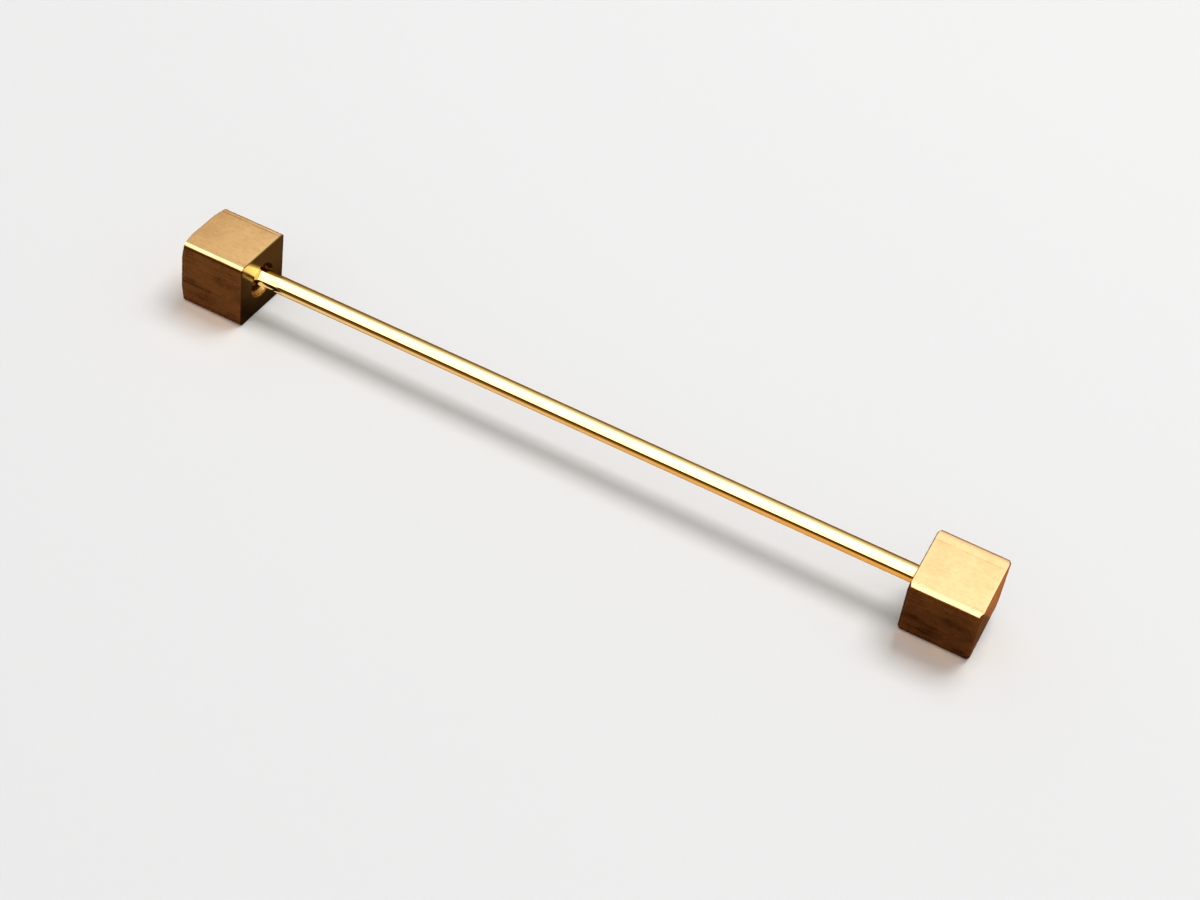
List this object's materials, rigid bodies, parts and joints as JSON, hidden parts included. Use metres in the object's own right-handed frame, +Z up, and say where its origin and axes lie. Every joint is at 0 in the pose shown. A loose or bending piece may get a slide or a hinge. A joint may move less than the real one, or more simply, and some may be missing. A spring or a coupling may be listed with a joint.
{
  "type": "collar bar",
  "caption": "Barbell collar bar: polished round bar with satin square end blocks, one of which screws off to pass the bar through collar eyelets.",
  "frame": {"origin": "middle of the bar, on its axis", "axes": "+X along the bar towards the locked cube, +Z up from the screw-off cube's rest face, -Y towards the viewer"},
  "size_m": [0.061, 0.006, 0.006],
  "materials": {
    "polished_gold": "gold plated, mirror polished",
    "satin_gold": "gold plated, brushed satin, lines along the bar",
    "bare_brass": "as turned"
  },
  "bodies": {
    "bar": {"bar": "polished_gold", "locked_cube": "satin_gold", "locked_bush": "bare_brass"},
    "screw_bush": {"screw_bush": "bare_brass"},
    "screw_cube": {"screw_cube": "satin_gold"}
  },
  "joints": [
    {"name": "end_advance", "type": "slide", "parent": "bar", "child": "screw_bush", "axis": [-1, 0, 0], "range_m": [0, 0.00275]},
    {"name": "end_unscrew", "type": "hinge", "parent": "screw_bush", "child": "screw_cube", "pos_m": [-0.02793, 0, 0], "axis": [-1, 0, 0], "range_deg": [0, 3960]}
  ],
  "couplings": [
    {"joint": "end_unscrew", "follows": "end_advance", "rad_per_m": 25133}
  ]
}
